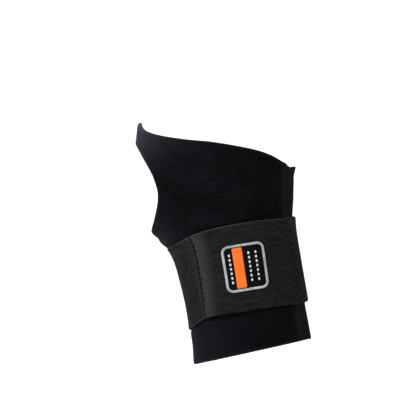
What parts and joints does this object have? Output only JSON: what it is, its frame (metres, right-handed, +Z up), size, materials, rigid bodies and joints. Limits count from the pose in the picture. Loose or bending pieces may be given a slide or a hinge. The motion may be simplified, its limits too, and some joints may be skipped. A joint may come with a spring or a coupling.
{
  "type": "wrist support brace",
  "caption": "Black foam wrist sleeve with a slanted top edge, a side thumb hole and one wrap-round elastic strap that peels open on hook and loop.",
  "frame": {"origin": "middle of the forearm opening, on the plane of the sleeve's rim", "axes": "+Z runs up the forearm towards the fingers; -X is the thumb side; -Y is the back of the hand, which carries the badge"},
  "size_m": [0.0943, 0.0528, 0.152],
  "materials": {
    "foam": "closed-cell foam, cut edge",
    "jersey": "fine knitted nylon bonded to foam, matte",
    "lining": "knitted polyester, matte",
    "thread": "polyester sewing thread",
    "label": "blank woven label",
    "loop": "brushed loop pile",
    "webbing": "ribbed woven elastic",
    "hook": "moulded hook tape",
    "badge_base": "smooth rubber print base",
    "badge_border": "satin",
    "badge_band": "satin",
    "badge_marks": "satin"
  },
  "bodies": {
    "sleeve": {"foam_core": "foam", "outer_jersey": "jersey", "inner_lining": "lining", "side_seam_thread": "thread", "seam_bartacks": "thread", "care_label": "label", "loop_patch": "loop", "loop_patch_stitch": "thread", "strap_anchor_end": "webbing", "anchor_box_stitch": "thread"},
    "strap_palm": {"strap_palm_run": "webbing"},
    "strap_thumb": {"strap_thumb_turn": "webbing"},
    "strap_tab": {"strap_back_run": "webbing", "hook_patch": "hook", "tab_seam_stitch": "thread", "badge_plate": "badge_base", "badge_border": "badge_border", "badge_band": "badge_band", "badge_marks": "badge_marks"},
    "strap_grip": {"strap_end_grip": "webbing", "end_zigzag_stitch": "thread"}
  },
  "joints": [
    {"name": "palm_swing", "type": "hinge", "parent": "sleeve", "child": "strap_palm", "pos_m": [0.0288, 0.0197, 0.0477], "axis": [0, 0, -1], "range_deg": [0, 25]},
    {"name": "thumb_turn", "type": "hinge", "parent": "strap_palm", "child": "strap_thumb", "pos_m": [-0.0243, 0.0203, 0.0477], "axis": [0, 0, -1], "range_deg": [0, 100]},
    {"name": "tab_peel", "type": "hinge", "parent": "strap_thumb", "child": "strap_tab", "pos_m": [-0.028, -0.0182, 0.0477], "axis": [0, 0, -1], "range_deg": [0, 110]},
    {"name": "grip_lift", "type": "hinge", "parent": "strap_tab", "child": "strap_grip", "pos_m": [0.0361, -0.0164, 0.0477], "axis": [0, 0, -1], "range_deg": [0, 60]}
  ],
  "couplings": [
    {"joint": "palm_swing", "follows": "thumb_turn", "ratio": 0.25}
  ]
}
